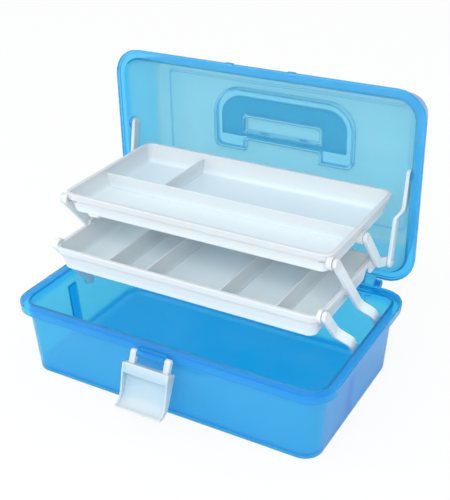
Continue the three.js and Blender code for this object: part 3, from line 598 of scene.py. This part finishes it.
for _, side in SIDES:
    parts.append(across(flank, side * (HALF - SKIN), side * HALF, 0.5))
    post = side * (14.5 + GAP + 3)
    parts.append(block(post - 3, post + 3, -2.6, 2.6, 0, BAR_LOW + 3, 0.6))
    parts.append(bar(3.0, post - 3, post + 3, 0, 0, ease=0.6))
    parts.append(bar(1.9, side * 9.5, post, 0, 0))
combine(latch, parts, "UNION")
at_lug = Matrix.Translation((0, MM * LATCH_Y, MM * LATCH_Z))
latch.data.transform(at_lug @ Matrix.Rotation(LATCH_HANGS, 4, "X"))
latch_white = plastic(
    "latch white", "Z",
    ((20, (0.80, 0.85, 0.87)), (34, (0.62, 0.77, 0.84)), (56, (0.52, 0.73, 0.83)), (62, (0.78, 0.84, 0.86)),
     (72, (0.80, 0.85, 0.87))),
    (0.90, 0.94, 0.95), clear=0.35, milky=0.4, roughness=0.3)
finish_piece(latch, "latch", latch_white)

# ---- Lower tray -------------------------------------------------------------------------------
# The lower tray is moulded in milky polypropylene with a hollow band round its rim and four low
# walls across it. Bosses in its sides take the arms' studs, and two ears carry the rear arms.
TRAY_X, TRAY_SKIN = 138.0, 1.6
ARM_ANGLE = math.radians(129.48)
ARM_LOWER, ARM_UPPER = 90.8, 53.0


def along(pivot, reach):
    """The point (y, z) that lies reach along an arm that leans from pivot."""
    return (pivot[0] + reach * math.cos(ARM_ANGLE), pivot[1] + reach * math.sin(ARM_ANGLE))


def tray(name, middle, depth, rim_z, tall, pivots, walls):
    """A tray with its rim band, its cross walls and the bosses for its pivots."""
    y0, y1 = middle - depth / 2, middle + depth / 2
    floor = rim_z - tall
    high = (TRAY_X - 2.4, y0 + 2.4, y1 - 2.4)
    low = (high[0] - 4, high[1] + 4, high[2] - 4)
    wall = leaning(low, high, floor, rim_z)
    outside = ((-7, floor, 0), (0, floor, 2.0), (0, rim_z - 1.5, 0.4), (0.9, rim_z - 1.5, 0.3),
               (0.9, rim_z - 7, 0.5), (2.4, rim_z - 7, 0.6), (2.4, rim_z, 0.9))
    section = soften(outside + (
        (-TRAY_SKIN, rim_z, 0.7), (-TRAY_SKIN, floor + TRAY_SKIN, 3.2), (-8, floor + TRAY_SKIN, 0)))
    body = shell(name, section, wall, 8)
    core = shell("core", [(-0.8, floor + 0.8), (-0.8, rim_z - 0.5)], wall, 8)
    stands = [block(*wall_box[:4], floor + 0.5, wall_box[4], 0.6) for wall_box in walls]
    standing = combine(stands[0], stands[1:], "UNION")
    added = [combine(standing, [core], "INTERSECT")]
    bored = []
    for _, side in SIDES:
        for y, z in pivots:
            skin = wall(z)[0] - TRAY_SKIN
            boss = bar(BOSS, side * (skin + 0.6), side * TRAY_X, y, z)
            added.append(boss)
            bored.append(bar(STUD + GAP, side * (skin - 8), side * (TRAY_X + 1), y, z, ease=0))
    combine(body, added, "UNION")
    return combine(body, bored, "DIFFERENCE")


LOWER_RIM = 124.0
lower_pivots = (along(BASE_PIVOTS[0], ARM_LOWER), along(BASE_PIVOTS[1], ARM_LOWER))
lower_walls = [(x - 0.8, x + 0.8, -62, 75, LOWER_RIM - 2) for x in (-77, -36, 41, 96)]
lower_tray = tray("lower_tray", 6.5, 127, LOWER_RIM, 24, lower_pivots, lower_walls)
REAR_PIVOT = (70.4, 115.7)
ears = []
holes = []
for _, side in SIDES:
    x0, x1 = side * (TRAY_X - 2.6), side * TRAY_X
    ears.append(bar(BOSS, x0, x1, *REAR_PIVOT))
    ears.append(block(x0, x1, 58, REAR_PIVOT[0],
                      REAR_PIVOT[1] - BOSS + 0.5, REAR_PIVOT[1] + BOSS - 0.5, 0.2))
    holes.append(bar(STUD + GAP, x0 - side, x1 + side, *REAR_PIVOT, ease=0))
combine(lower_tray, ears, "UNION")
combine(lower_tray, holes, "DIFFERENCE")
# The pale bluish band on the floor is painted light, the blue light that comes up through the tub beneath.
tray_white = plastic(
    "tray white", "Z",
    ((99, (0.91, 0.98, 1.0)), (102, (0.91, 0.98, 1.0)), (108, (0.80, 0.85, 0.87)),
     (125, (0.76, 0.80, 0.82))),
    (0.84, 0.87, 0.88), clear=0.15, milky=0.0, roughness=0.34, ripple=9.0)
finish_piece(lower_tray, "lower_tray", tray_white)

# ---- Upper tray -------------------------------------------------------------------------------
# The upper tray is deeper and a little lower-walled, moulded in the same milky plastic. One long
# wall splits off a full-width front compartment, and a short one divides the rear.
UPPER_RIM = 171.0
upper_pivots = (along(lower_pivots[1], ARM_UPPER), along(REAR_PIVOT, ARM_UPPER))
upper_walls = [(-TRAY_X, TRAY_X, 30.7, 32.3, UPPER_RIM - 4), (-67.3, -65.7, 31.5, 112, UPPER_RIM - 4)]
upper_tray = tray("upper_tray", 38.5, 146, UPPER_RIM, 20.5, upper_pivots, upper_walls)
# The pale bluish band on the floor is painted light, the blue light that comes up from the tub below.
milk_white = plastic(
    "milk white", "Z",
    ((149, (0.86, 0.95, 0.99)), (153, (0.86, 0.95, 0.99)), (158, (0.78, 0.83, 0.85)),
     (172, (0.74, 0.78, 0.80))),
    (0.83, 0.86, 0.87), clear=0.2, milky=0.15, roughness=0.34, ripple=9.0)
finish_piece(upper_tray, "upper_tray", milk_white)

# ---- Arms and lid links -----------------------------------------------------------------------
# Eight flat strips of the milky plastic with round eyes and moulded studs. The arms step inwards
# above the tub's rim to reach the trays, and the links join the rear arms to the lid.
THICK, WIDE = 3.6, 9.5
LOOSE_HOLE = 3.1
ARM_IN = TRAY_X + GAP
FOOT_IN = boss_face - GAP - THICK


def sweep(side, path, wide=WIDE):
    """A strip along +Y from its first eye to its last. The path gives (distance, inner face)."""
    length, eye = path[-1][0], wide / 2
    stops = sorted(
        [-eye * math.cos(math.pi * i / 16) for i in range(9)]
        + [length + eye * math.sin(math.pi * i / 16) for i in range(9)]
        + [length * i / 28 for i in range(1, 28)])
    loops = []
    for s in stops:
        past = max(0.0, -s, s - length)
        half = max(0.7, math.sqrt(max(0.0, eye * eye - past * past)))
        face = path[0][1]
        for (s0, x0), (s1, x1) in zip(path, path[1:]):
            t = min(1.0, max(0.0, (s - s0) / (s1 - s0)))
            face += (x1 - x0) * t * t * (3 - 2 * t)
        ring = outline(THICK / 2, -half, half, 0.65, 0.65, 0, 3)
        ring = [(side * (face + THICK / 2 + x), s, -side * y) for x, y, _ in ring]
        loops.append(ring)
    return loft("strip", loops)


def stud(side, x0, x1, s):
    return bar(STUD, side * x0, side * x1, s, 0, ease=0.5)


def set_at(body, name, pivot, angle):
    """Places a strip at its pivot in the open pose and finishes it."""
    at_pivot = Matrix.Translation((0, MM * pivot[0], MM * pivot[1]))
    body.data.transform(at_pivot @ Matrix.Rotation(angle, 4, "X"))
    finish_piece(body, name, milk_white)


LINK_FOOT, LINK_HEAD = (92.8, 106.6), (109.6, 190.8)
crank = Vector((LINK_FOOT[0] - REAR_PIVOT[0], LINK_FOOT[1] - REAR_PIVOT[1]))
crank_turn = math.atan2(crank.y, crank.x) - ARM_ANGLE
link = Vector((LINK_FOOT[0] - LINK_HEAD[0], LINK_FOOT[1] - LINK_HEAD[1]))
LINK_IN = ARM_IN + THICK + GAP
LINK_UPPER_IN = link_face - GAP - THICK
for name, side in SIDES:
    for kind, pivot, reach, stops in (
            ("front_arm", BASE_PIVOTS[0], ARM_LOWER, (ARM_LOWER,)),
            ("long_arm", BASE_PIVOTS[1], ARM_LOWER + ARM_UPPER, (ARM_LOWER, ARM_LOWER + ARM_UPPER))):
        strip = sweep(side, [
            (0, FOOT_IN), (ARM_LOWER * 0.4, FOOT_IN), (ARM_LOWER * 0.62, ARM_IN), (reach, ARM_IN)])
        studs = [stud(side, ARM_IN + 1, TRAY_X - 4.6, stop) for stop in stops]
        studs.append(stud(side, FOOT_IN + THICK - 1, WALL_X - 0.6, 0))
        combine(strip, studs, "UNION")
        set_at(strip, f"{kind}_{name}", pivot, ARM_ANGLE)

    rear = sweep(side, [(0, ARM_IN), (ARM_UPPER, ARM_IN)])
    lower = sweep(side, [(0, ARM_IN), (crank.length, ARM_IN)])
    lower.data.transform(Matrix.Rotation(crank_turn, 4, "X"))
    foot = (crank.length * math.cos(crank_turn), crank.length * math.sin(crank_turn))
    combine(rear, [
        lower,
        bar(STUD, side * (ARM_IN + THICK - 1), side * (LINK_IN + THICK + 0.5), *foot),
        stud(side, ARM_IN + 1, TRAY_X - 3.4, 0),
        stud(side, ARM_IN + 1, TRAY_X - 4.6, ARM_UPPER)], "UNION")
    set_at(rear, f"rear_arm_{name}", REAR_PIVOT, ARM_ANGLE)

    far = link.length
    strap = sweep(side, [
        (0, LINK_UPPER_IN), (0.36 * far, LINK_UPPER_IN), (0.52 * far, LINK_IN), (far, LINK_IN)])
    combine(strap, [
        bar(WIDE / 2 + 0.8, side * LINK_IN, side * (LINK_IN + THICK), far, 0, ease=0.6),
        stud(side, LINK_UPPER_IN + THICK - 1, WALL_X - 1.2, 0)], "UNION")
    loose_hole = bar(LOOSE_HOLE, side * (LINK_IN - 1), side * (LINK_IN + THICK + 1), far, 0, ease=0)
    combine(strap, [loose_hole], "DIFFERENCE")
    set_at(strap, f"lid_link_{name}", LINK_HEAD, math.atan2(link.y, link.x))

# ---- Table and light --------------------------------------------------------------------------
# A wide white table top under the box, a white room round it, and two large soft lamps.
table_data = bpy.data.meshes.new("table")
table_data.from_pydata([(-6, -6, 0), (6, -6, 0), (6, 6, 0), (-6, 6, 0)], [], [(0, 1, 2, 3)])
table = bpy.data.objects.new("table", table_data)
bpy.context.scene.collection.objects.link(table)


def seen_as_white(material_nodes, link):
    """1 where the camera or clear plastic looks at it, 0 where it only lights the box."""
    path = material_nodes.new("ShaderNodeLightPath").outputs
    either = material_nodes.new("ShaderNodeMath")
    either.operation = "MAXIMUM"
    link(path["Is Camera Ray"], either.inputs[0])
    link(path["Is Transmission Ray"], either.inputs[1])
    return either.outputs[0]


table_white = bpy.data.materials.new("table white")
table_white.use_nodes = True
nodes = table_white.node_tree.nodes
link_up = table_white.node_tree.links.new
top = nodes["Principled BSDF"]
top.inputs["Base Color"].default_value = (0.86, 0.87, 0.88, 1)
top.inputs["Roughness"].default_value = 0.7
glow = nodes.new("ShaderNodeEmission")
glow.inputs["Strength"].default_value = 1.0
lit = nodes.new("ShaderNodeMixShader")
share = nodes.new("ShaderNodeMath")
share.operation = "MULTIPLY"
share.inputs[1].default_value = 0.9
link_up(seen_as_white(nodes, link_up), share.inputs[0])
link_up(share.outputs[0], lit.inputs[0])
link_up(top.outputs[0], lit.inputs[1])
link_up(glow.outputs[0], lit.inputs[2])
link_up(lit.outputs[0], nodes["Material Output"].inputs["Surface"])
table_data.materials.append(table_white)

room = bpy.data.worlds.new("room")
room.use_nodes = True
bpy.context.scene.world = room
nodes = room.node_tree.nodes
link_up = room.node_tree.links.new
near = nodes["Background"]
near.inputs["Color"].default_value = (0.97, 0.985, 1.0, 1)
near.inputs["Strength"].default_value = 0.85
far_white = nodes.new("ShaderNodeBackground")
far_white.inputs["Strength"].default_value = 1.0
both = nodes.new("ShaderNodeMixShader")
link_up(seen_as_white(nodes, link_up), both.inputs[0])
link_up(near.outputs[0], both.inputs[1])
link_up(far_white.outputs[0], both.inputs[2])
link_up(both.outputs[0], nodes["World Output"].inputs["Surface"])


def softbox(name, place, size, power):
    """A large square lamp that faces the middle of the box."""
    lamp_data = bpy.data.lights.new(name, "AREA")
    lamp_data.shape = "SQUARE"
    lamp_data.size = size
    lamp_data.energy = power
    lamp = bpy.data.objects.new(name, lamp_data)
    lamp.location = place
    lamp.rotation_euler = (Vector((0, 0.03, 0.09)) - Vector(place)).to_track_quat("-Z", "Y").to_euler()
    bpy.context.scene.collection.objects.link(lamp)


softbox("key lamp", (0.56, -1.66, 1.40), 1.4, 25)
softbox("left lamp", (-1.45, -0.95, 0.95), 1.2, 8)
bpy.context.scene.view_settings.view_transform = "Standard"
